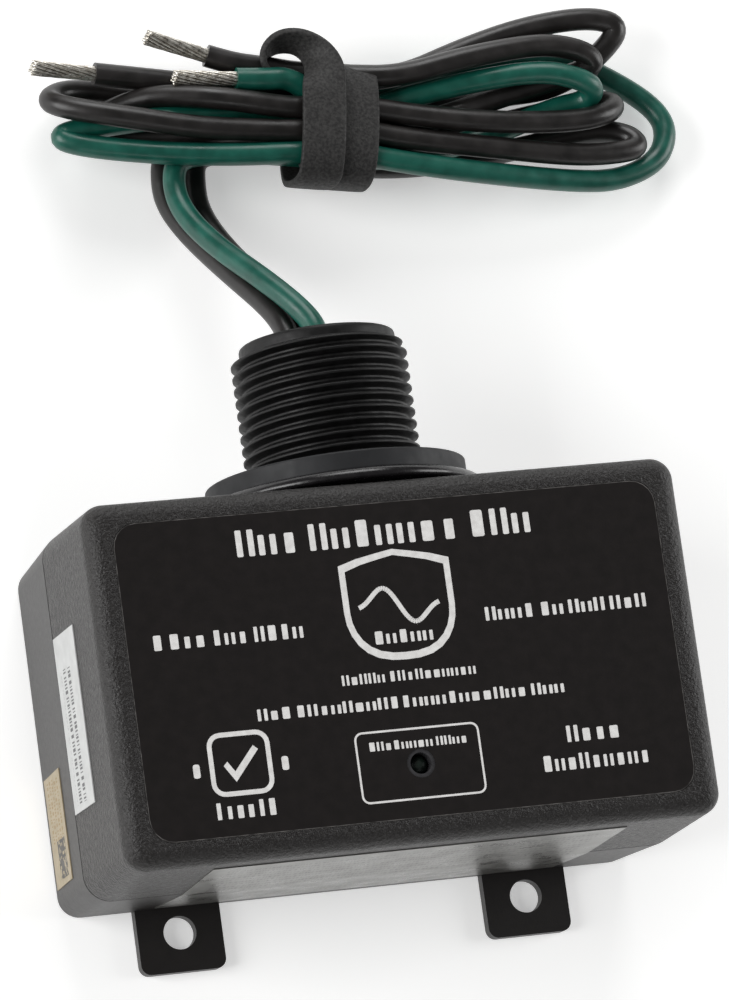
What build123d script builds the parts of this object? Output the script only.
from build123d import *
import math
import os

# Whole house surge protector: a two-part ABS box with a 3/4 inch threaded nipple, three 12 AWG leads folded into a
# hank, and two mounting tabs. It lies on its back: +Z out of the front face, +Y along the nipple, +X to the right.
# The origin is the middle of the box, tabs and nipple on the plane of the back. Millimetres.

# Housing
BOX_W = 90.5            # at the parting plane
BOX_H = 54.4            # at the parting plane
BOX_D = 48.0
PARTING_Z = 22.4
FRONT_DRAFT = 0.78      # each side, over the depth of the front half
REAR_DRAFT = 0.80       # each side, over the depth of the rear half
CORNER_R = 4.0
FRONT_EDGE_R = 2.8
REAR_EDGE_R = 0.6
WALL = 2.4
LIP_T, LIP_H = 1.1, 1.5
LIP_GAP = 0.1
PARTING_GROOVE = 0.28

# Mounting tabs, moulded on the rear cover
TAB_LENGTH = 9.0
TAB_W = 13.0
TAB_T = 2.06
TAB_X = 27.0
TAB_CORNER_R = 1.5
TAB_HOLE_R = 2.5
TAB_HOLE_DROP = 3.15    # from the bottom face to the hole's centre

# Nipple, 3/4-14 straight pipe thread
NIPPLE_RISE = 25.6      # above the top face
THREAD_R = 13.15
THREAD_ROOT_R = 12.0
THREAD_PITCH = 1.814
CREST_FLAT = 0.35
PILOT_R = 11.69
PILOT_H = 1.3
BORE_R = 9.5
FLANGE_R = 21.6
FLANGE_T = 1.9
NECK_R = 12.0
NECK_CLEARANCE = 0.1
COLLAR_SIDE, COLLAR_T = 34.0, 2.8
RIDGES = 11

# Washer
WASHER_R = 19.43
WASHER_HOLE_R = 13.35
WASHER_T = 2.9

# Labels and indicator
LABEL_W, LABEL_H, LABEL_R = 81.4, 46.2, 3.5
LABEL_T, LABEL_RECESS = 0.25, 0.3
STICKER_T = 0.15
LED_RISE = 12.0         # above the bottom face
LED_R, RING_R, RING_IN_R = 1.5, 2.1, 1.55

# Leads
WIRE_D = 3.5
CONDUCTOR_D = 2.4
STRIP_LENGTH = 9.8

# Derived places
OVERALL_Y = TAB_LENGTH + BOX_H + NIPPLE_RISE
BOTTOM_Y = TAB_LENGTH - OVERALL_Y / 2
TOP_Y = BOTTOM_Y + BOX_H
RIM_Y = TOP_Y + NIPPLE_RISE
MID_Y = (BOTTOM_Y + TOP_Y) / 2
AXIS_Z = BOX_D / 2
FLANGE_Y = TOP_Y + FLANGE_T
LED_Y = BOTTOM_Y + LED_RISE
SEAL_Y = RIM_Y - 1.5
SEAL_DEPTH = 13.0

# The leads from the seal in the nipple down to the hank. Each list is the route's corners.
LEAD_ROUTES = {
    "lead_green": [
        (-0.5, SEAL_Y, 26.9), (-0.5, 45.0, 26.9), (-1.1, 47.6, 25.9), (-3.4, 51.4, 23.9),
        (-6.6, 56.4, 19.7), (-9.8, 61.6, 14.3), (-12.4, 66.5, 10.4), (-13.7, 70.7, 7.6),
        (-13.9, 74.6, 6.5), (-12.9, 78.1, 6.4),
    ],
    "lead_black_left": [
        (-3.9, SEAL_Y, 23.3), (-3.9, 45.0, 23.3), (-4.1, 48.0, 21.7), (-5.4, 51.9, 18.7),
        (-8.1, 57.2, 14.0), (-10.7, 62.7, 9.0), (-12.8, 67.4, 5.4), (-14.2, 71.6, 3.0), (-14.6, 75.2, 2.1),
        (-13.8, 80.3, 1.8),
    ],
    "lead_black_right": [
        (0.0, SEAL_Y, 21.2), (0.0, 45.0, 21.2), (-0.6, 48.0, 20.9), (-2.0, 51.6, 18.4), (-4.1, 56.1, 14.2),
        (-6.5, 60.9, 9.9), (-8.5, 66.5, 5.5), (-9.5, 71.0, 2.8), (-9.5, 75.0, 2.0), (-8.9, 79.3, 1.9),
    ],
}

# The ends of the leads, from the tie to the end of the insulation.
TAIL_ROUTES = {
    "tail_black_a": [(6.9, 87.8, 3.8), (-2.0, 88.9, 5.2), (-12.0, 90.5, 6.3), (-24.1, 92.3, 7.0)],
    "tail_black_b": [(7.6, 89.9, 7.0), (2.0, 91.6, 7.5), (-2.5, 92.3, 7.9), (-6.5, 93.8, 8.0)],
    "tail_green": [(7.4, 88.0, 10.0), (1.5, 88.8, 10.3), (-2.9, 89.2, 10.2)],
}

# Inside the box, from each terminal on the board up to the seal.
TERMINAL_X = {"green": 0.0, "black_left": -9.0, "black_right": 9.0}
TERMINAL_Y = 3.5

# Hank and tie
HANK_TOP = 11.8
SHELF_Z = 5.0
HANK_LEFT = [
    (9.0, 75.0), (9.0, 87.5), (0.0, 88.4), (-12.0, 89.4), (-17.0, 91.0), (-28.0, 93.0), (-33.5, 91.5),
    (-35.1, 88.0), (-34.0, 82.0), (-30.0, 79.2), (-17.0, 77.2), (-5.0, 76.0),
]
HANK_LEFT_UPPER = [
    (9.0, 75.6), (9.0, 86.0), (-12.0, 87.2), (-24.0, 89.4), (-32.0, 91.0), (-35.1, 88.0), (-34.0, 82.0),
    (-30.0, 79.2), (-17.0, 77.2), (-5.0, 76.0),
]
HANK_RIGHT = [
    (18.0, 73.5), (35.0, 70.5), (50.0, 68.4), (58.0, 68.7), (64.5, 71.2), (67.7, 76.0), (67.8, 81.0),
    (63.5, 86.0), (61.8, 92.0), (61.5, 96.0), (57.0, 98.2), (45.0, 97.4), (35.0, 95.0), (18.0, 91.5),
]
TIE_X, TIE_Y = 12.0, 82.7
TIE_W = 12.0
TIE_TILT = -8.0         # degrees, square to the runs
TIE_INNER_Y, TIE_INNER_Z = 16.8, 10.7
TIE_T = 1.5

# Circuit board and what stands on it
BOARD_W, BOARD_H, BOARD_T = 69.0, 40.0, 1.6
BOARD_Z = 14.0
BOARD_Y = -12.0
BOARD_TOP = BOARD_Z + BOARD_T
STANDOFF_X, STANDOFF_Y = 30.5, (-28.0, 4.0)
STANDOFF_R, SCREW_CORE_R = 3.0, 1.2
POST_X, POST_Y, POST_R = 39.2, (-29.6, 13.0), 3.6
COVER_SCREW_R = 1.45
VARISTOR_R, VARISTOR_T = 10.0, 5.0
VARISTOR_X = (-27.5, -20.0, -12.5, 12.5, 20.0, 27.5)


def wire(name, points):
    """A round lead along straight runs joined by tangent arcs as large as the runs allow."""
    v = [Vector(*p) for p in points]
    radii = []
    for a, b, c in zip(v, v[1:], v[2:]):
        turn = math.radians((b - a).get_angle(c - b))
        radii.append(0.45 * min((b - a).length, (c - b).length) / math.tan(turn / 2))
    line = FilletPolyline(*v, radius=radii)
    print(name, "length %.1f" % line.length, "radii", [round(r, 1) for r in radii])
    section = Plane(origin=line @ 0, z_dir=line % 0) * Circle(WIRE_D / 2)
    return sweep(section, path=line)


def rod(start, end, radius):
    """A straight round bar between two points."""
    a, b = Vector(start), Vector(end)
    return extrude(Plane(origin=a, z_dir=b - a) * Circle(radius), (b - a).length)


def upright(x, y, z0, z1, radius):
    """A round post along Z."""
    return Pos(x, y, z0) * extrude(Circle(radius), z1 - z0)


def outline(width, height, radius):
    return Pos(0, MID_Y) * RectangleRounded(width, height, radius)


def drafted(inset, height, draft):
    """The box's outline at the parting plane, moved inwards by inset and pulled along Z with its draft."""
    radius = max(CORNER_R - inset, 1.6)
    angle = math.degrees(math.atan2(draft, abs(height)))
    face = outline(BOX_W - 2 * inset, BOX_H - 2 * inset, radius)
    return Pos(0, 0, PARTING_Z) * extrude(face, height, taper=angle)


def front_body(grow=0.0):
    body = drafted(-grow, BOX_D - PARTING_Z + grow, FRONT_DRAFT)
    top = body.faces().sort_by(Axis.Z)[-1]
    return fillet(top.edges(), FRONT_EDGE_R)


def rear_body(grow=0.0):
    return drafted(-grow, -PARTING_Z, REAR_DRAFT)


def neck_hole():
    return rod((0, TOP_Y - 6, AXIS_Z), (0, TOP_Y + 2, AXIS_Z), NECK_R + NECK_CLEARANCE)


def front_housing():
    body = front_body()
    body -= drafted(WALL, BOX_D - PARTING_Z - WALL, FRONT_DRAFT)
    rebate = outline(BOX_W - 2 * (WALL - LIP_T - LIP_GAP), BOX_H - 2 * (WALL - LIP_T - LIP_GAP), CORNER_R - 1.2)
    body -= Pos(0, 0, PARTING_Z) * extrude(rebate, LIP_H + LIP_GAP)
    around = outline(BOX_W + 2, BOX_H + 2, CORNER_R)
    around -= outline(BOX_W - 2 * PARTING_GROOVE, BOX_H - 2 * PARTING_GROOVE, CORNER_R)
    body -= Pos(0, 0, PARTING_Z) * extrude(around, PARTING_GROOVE)
    for y in POST_Y:
        for x in (-POST_X, POST_X):
            post = upright(x, y, PARTING_Z + LIP_H + LIP_GAP, BOX_D - WALL, POST_R) & front_body()
            body = body + post - upright(x, y, PARTING_Z, 35.5, COVER_SCREW_R)
    recess = Pos(0, MID_Y, BOX_D - LABEL_RECESS) * extrude(RectangleRounded(LABEL_W, LABEL_H, LABEL_R), 1)
    body -= recess
    body -= upright(0, LED_Y, BOX_D - 4, BOX_D + 1, RING_R)
    body -= neck_hole()
    return body


def tab(x):
    blank = Rectangle(TAB_W, TAB_LENGTH + WALL, align=(Align.CENTER, Align.MIN))
    blank = Pos(x, BOTTOM_Y - TAB_LENGTH) * blank
    blank = fillet(blank.vertices().sort_by(Axis.Y)[:2], TAB_CORNER_R)
    blank -= Pos(x, BOTTOM_Y - TAB_HOLE_DROP) * Circle(TAB_HOLE_R)
    return extrude(blank, TAB_T)


def rear_cover():
    body = rear_body()
    bottom = body.faces().sort_by(Axis.Z)[0]
    body = fillet(bottom.edges(), REAR_EDGE_R)
    cavity = drafted(WALL, -(PARTING_Z - WALL), REAR_DRAFT)
    body -= cavity
    lip_outer = outline(BOX_W - 2 * (WALL - LIP_T), BOX_H - 2 * (WALL - LIP_T), CORNER_R - 1.3)
    lip_inner = outline(BOX_W - 2 * WALL, BOX_H - 2 * WALL, 1.6)
    body += Pos(0, 0, PARTING_Z) * extrude(lip_outer - lip_inner, LIP_H)
    for y in POST_Y:
        for x in (-POST_X, POST_X):
            room = rear_body() + drafted(WALL - LIP_T, LIP_H, 0.01)
            body += upright(x, y, WALL, PARTING_Z + LIP_H, POST_R) & room
            body -= upright(x, y, 10.0, BOX_D, 1.7)
            body -= upright(x, y, -1.0, 12.0, 3.0)
    for y in STANDOFF_Y:
        for x in (-STANDOFF_X, STANDOFF_X):
            body += upright(x, y, WALL / 2, BOARD_Z, STANDOFF_R)
            body -= upright(x, y, 5.0, BOARD_Z + 1, SCREW_CORE_R)
    body += tab(-TAB_X) + tab(TAB_X)
    body -= neck_hole()
    return body


def cover_screws():
    screws = []
    for y in POST_Y:
        for x in (-POST_X, POST_X):
            head = upright(x, y, 9.8, 12.0, 2.7)
            slot = Pos(x, y, 9.8) * (Box(3.4, 0.7, 1.6) + Box(0.7, 3.4, 1.6))
            screws.append(head + upright(x, y, 12.0, 34.5, COVER_SCREW_R) - slot)
    return Compound(children=[s.solid() for s in screws])


def front_label():
    plate = extrude(RectangleRounded(LABEL_W - 0.1, LABEL_H - 0.1, LABEL_R), LABEL_T)
    plate = Pos(0, MID_Y, BOX_D - LABEL_RECESS) * plate
    return plate - upright(0, LED_Y, BOX_D - 4, BOX_D + 1, RING_R)


def skin_patch(grown, body, low, high):
    """A thin patch that follows the drafted wall: the grown body less the body, inside a box."""
    size = [h - l for l, h in zip(low, high)]
    block = Pos(*low) * Box(*size, align=(Align.MIN, Align.MIN, Align.MIN))
    return (grown & block) - body


def side_sticker(grown, body, y0, y1, z0, z1):
    low = (-BOX_W / 2 - 1, BOTTOM_Y + y0, z0)
    return skin_patch(grown, body, low, (-BOX_W / 2 + 2, BOTTOM_Y + y1, z1))


def rating_label():
    half = 31.0
    front = skin_patch(
        front_body(STICKER_T), front_body(), (-half, BOTTOM_Y - 1, PARTING_Z), (half, BOTTOM_Y + 2, 42.6))
    rear = skin_patch(
        rear_body(STICKER_T), rear_body(), (-half, BOTTOM_Y - 1, 4.6), (half, BOTTOM_Y + 2, PARTING_Z))
    return front + rear


def ring_profile():
    """Outline of the nipple's outside in radius and height, from the flange to the rim, with its thread ridges."""
    points = [(BORE_R, FLANGE_Y - FLANGE_T - 1), (FLANGE_R, FLANGE_Y - FLANGE_T - 1), (FLANGE_R, FLANGE_Y)]
    first = RIM_Y - 2.2 - (RIDGES - 1) * THREAD_PITCH
    points.append((THREAD_ROOT_R, FLANGE_Y))
    for i in range(RIDGES):
        y = first + i * THREAD_PITCH
        points += [
            (THREAD_ROOT_R, y - THREAD_PITCH / 2 + 0.1), (THREAD_R, y - CREST_FLAT / 2),
            (THREAD_R, y + CREST_FLAT / 2), (THREAD_ROOT_R, y + THREAD_PITCH / 2 - 0.1),
        ]
    points += [(PILOT_R, RIM_Y - PILOT_H), (PILOT_R, RIM_Y - 0.4), (PILOT_R - 0.4, RIM_Y), (BORE_R, RIM_Y)]
    return points


def threaded_nipple(front, rear):
    face = Pos(0, 0, AXIS_Z) * make_face(Polyline(*ring_profile(), close=True))
    body = revolve(face, Axis((0, 0, AXIS_Z), (0, 1, 0)))
    neck = rod((0, TOP_Y - WALL - 0.6, AXIS_Z), (0, FLANGE_Y, AXIS_Z), NECK_R)
    collar = Pos(0, TOP_Y - WALL, AXIS_Z) * Box(COLLAR_SIDE, COLLAR_T, COLLAR_SIDE)
    collar = fillet(collar.edges().filter_by(Axis.Y), 3.0)
    body = body + neck + collar
    body -= rod((0, TOP_Y - 8, AXIS_Z), (0, RIM_Y + 1, AXIS_Z), BORE_R)
    wall = Pos(0, TOP_Y, AXIS_Z) * Box(60, 8, 60)
    body -= (front + rear) & wall
    return body


def sealing_washer():
    ring = Plane(origin=(0, FLANGE_Y, AXIS_Z), z_dir=(0, 1, 0)) * (Circle(WASHER_R) - Circle(WASHER_HOLE_R))
    body = extrude(ring, WASHER_T)
    outer = body.edges().filter_by(GeomType.CIRCLE).filter_by(lambda e: e.radius > WASHER_R - 0.1)
    return fillet(outer, 0.3)


def lead_seal():
    return rod((0, SEAL_Y - SEAL_DEPTH, AXIS_Z), (0, SEAL_Y, AXIS_Z), BORE_R)


def led_bezel():
    body = upright(0, LED_Y, BOX_D - WALL, BOX_D - 0.2, RING_R) - upright(0, LED_Y, BOX_D - 4, BOX_D + 1, RING_IN_R)
    return body + upright(0, LED_Y, BOX_D - WALL - 0.8, BOX_D - WALL, 3.0) - upright(
        0, LED_Y, BOX_D - 4, BOX_D + 1, RING_IN_R)


def status_led():
    dome_z = BOX_D - 1.0 - LED_R
    body = upright(0, LED_Y, 40.6, dome_z, LED_R) + Pos(0, LED_Y, dome_z) * Sphere(LED_R)
    for dx in (-0.9, 0.9):
        body += upright(dx, LED_Y, BOARD_TOP, 40.8, 0.25)
    return body


def led_spacer():
    body = upright(0, LED_Y, BOARD_TOP, 40.6, 2.2)
    for dx in (-0.9, 0.9):
        body -= upright(dx, LED_Y, BOARD_TOP - 1, 42.0, 0.4)
    return body


def circuit_board():
    body = Pos(0, BOARD_Y, BOARD_Z) * extrude(RectangleRounded(BOARD_W, BOARD_H, 1.5), BOARD_T)
    for y in STANDOFF_Y:
        for x in (-STANDOFF_X, STANDOFF_X):
            body -= upright(x, y, BOARD_Z - 1, BOARD_TOP + 1, 1.5)
    return body


def board_screws():
    screws = []
    for y in STANDOFF_Y:
        for x in (-STANDOFF_X, STANDOFF_X):
            screw = upright(x, y, BOARD_TOP, BOARD_TOP + 1.6, 2.5) + upright(x, y, 6.0, BOARD_TOP, SCREW_CORE_R)
            screw -= Pos(x, y, BOARD_TOP + 1.6) * (Box(3.0, 0.6, 1.4) + Box(0.6, 3.0, 1.4))
            screws.append(screw)
    return Compound(children=[s.solid() for s in screws])


def varistor(x):
    z = BOARD_TOP + 1.2 + VARISTOR_R
    y = BOARD_Y - 2.0
    body = rod((x - VARISTOR_T / 2, y, z), (x + VARISTOR_T / 2, y, z), VARISTOR_R)
    body = fillet(body.edges().filter_by(GeomType.CIRCLE), 1.2)
    for dy in (-3.75, 3.75):
        body += upright(x, y + dy, BOARD_TOP, z, 0.4)
    return body


def thermal_cutoff(x):
    body = rod((x, -11.0, BOARD_TOP + 2.0), (x, -2.0, BOARD_TOP + 2.0), 2.0)
    for y in (-12.6, -0.4):
        tip = y + 1.6 if y < -5 else y - 1.6
        body += rod((x, y, BOARD_TOP + 2.0), (x, tip, BOARD_TOP + 2.0), 0.35)
        body += upright(x, y, BOARD_TOP, BOARD_TOP + 2.35, 0.35)
    return body


def filter_capacitor():
    body = Pos(0, -15.0, BOARD_TOP) * Box(11.0, 4.5, 9.0, align=(Align.CENTER, Align.CENTER, Align.MIN))
    return fillet(body.edges().filter_by(Axis.Z), 0.6)


def axial_part(x, y, length, radius):
    """A small axial component lying along X, standing on its two bent leads."""
    z = BOARD_TOP + radius + 0.3
    body = rod((x - length / 2, y, z), (x + length / 2, y, z), radius)
    for side in (-1, 1):
        end = x + side * (length / 2 + 1.5)
        body += rod((x + side * length / 2, y, z), (end, y, z), 0.25)
        body += upright(end, y, BOARD_TOP, z + 0.25, 0.25)
    return body


def lead_terminals():
    posts = []
    for x in TERMINAL_X.values():
        post = upright(x, TERMINAL_Y, BOARD_TOP, BOARD_TOP + 2.0, 2.2)
        posts.append(post + upright(x, TERMINAL_Y, BOARD_TOP + 2.0, BOARD_TOP + 5.0, 1.4))
    return Compound(children=[p.solid() for p in posts])


def inner_lead(name):
    """A lead inside the box: up from its terminal, over and into the seal, in line with the outer lead."""
    key = name.replace("inner_lead_", "")
    end = LEAD_ROUTES["lead_" + key][0]
    x = TERMINAL_X[key]
    top = BOARD_TOP + 5.0
    entry = SEAL_Y - SEAL_DEPTH
    points = [
        (x, TERMINAL_Y, top), (x, TERMINAL_Y, top + 2.5), (x * 0.8, TERMINAL_Y + 3.5, top + 4.4),
        (x * 0.35 + end[0] * 0.6, TERMINAL_Y + 10.0, end[2] + 0.3), (end[0], TERMINAL_Y + 18.0, end[2]),
        (end[0], entry, end[2]),
    ]
    return wire(name, points)


def strands(tail):
    """The bare conductor, straight on from the end of its insulation."""
    inner, tip = (Vector(*p) for p in TAIL_ROUTES[tail][-2:])
    direction = (tip - inner).normalized()
    return rod(tip, tip + direction * STRIP_LENGTH, CONDUCTOR_D / 2)


def tie_frame():
    return Pos(TIE_X, TIE_Y, TIE_T + TIE_INNER_Z / 2) * Rot(0, 0, TIE_TILT)


def hank_tie():
    outer = Box(TIE_W, TIE_INNER_Y + 2 * TIE_T, TIE_INNER_Z + 2 * TIE_T)
    outer = fillet(outer.edges().filter_by(Axis.X), 5.0)
    return tie_frame() * (outer - tie_opening())


def tie_opening():
    opening = Box(TIE_W + 4, TIE_INNER_Y, TIE_INNER_Z)
    return fillet(opening.edges().filter_by(Axis.X), 4.0)


def slab(points, z0, z1):
    face = make_face(Polyline(*points, close=True))
    face = fillet(face.vertices(), 0.8)
    return Pos(0, 0, z0) * extrude(face, z1 - z0)


def lead_hank(tie):
    body = slab(HANK_LEFT, 0.0, SHELF_Z) + slab(HANK_LEFT_UPPER, SHELF_Z, HANK_TOP)
    body += slab(HANK_RIGHT, 0.0, HANK_TOP)
    body += tie_frame() * tie_opening()
    return body - tie


def build():
    front, rear = front_housing(), rear_cover()
    tie = hank_tie()
    parts = {
        "front_housing": front,
        "rear_cover": rear,
        "cover_screws": cover_screws(),
        "front_label": front_label(),
        "serial_sticker": side_sticker(front_body(STICKER_T), front_body(), 12.9, 38.8, 23.1, 34.8),
        "date_sticker": side_sticker(rear_body(STICKER_T), rear_body(), 4.9, 21.3, 2.3, 14.8),
        "rating_label": rating_label(),
        "led_bezel": led_bezel(),
        "status_led": status_led(),
        "led_spacer": led_spacer(),
        "threaded_nipple": threaded_nipple(front, rear),
        "sealing_washer": sealing_washer(),
        "lead_seal": lead_seal(),
        "circuit_board": circuit_board(),
        "board_screws": board_screws(),
        "thermal_cutoff_1": thermal_cutoff(-5.5),
        "thermal_cutoff_2": thermal_cutoff(5.5),
        "filter_capacitor": filter_capacitor(),
        "led_diode": axial_part(-5.5, -28.5, 4.0, 1.1),
        "lead_terminals": lead_terminals(),
        "hank_tie": tie,
        "lead_hank": lead_hank(tie),
    }
    resistors = [axial_part(x, -28.5, 6.0, 1.2) for x in (6.5, 18.0)]
    parts["led_resistors"] = Compound(children=[r.solid() for r in resistors])
    for i, x in enumerate(VARISTOR_X, 1):
        parts["varistor_%d" % i] = varistor(x)
    for name in ("inner_lead_green", "inner_lead_black_left", "inner_lead_black_right"):
        parts[name] = inner_lead(name)
    for name, route in LEAD_ROUTES.items():
        parts[name] = wire(name, route)
    for name, route in TAIL_ROUTES.items():
        parts[name] = wire(name, route)
        parts[name.replace("tail", "strands")] = strands(name)
    return parts


os.makedirs("parts", exist_ok=True)
for node, shape in build().items():
    export_step(shape, "parts/%s.step" % node)
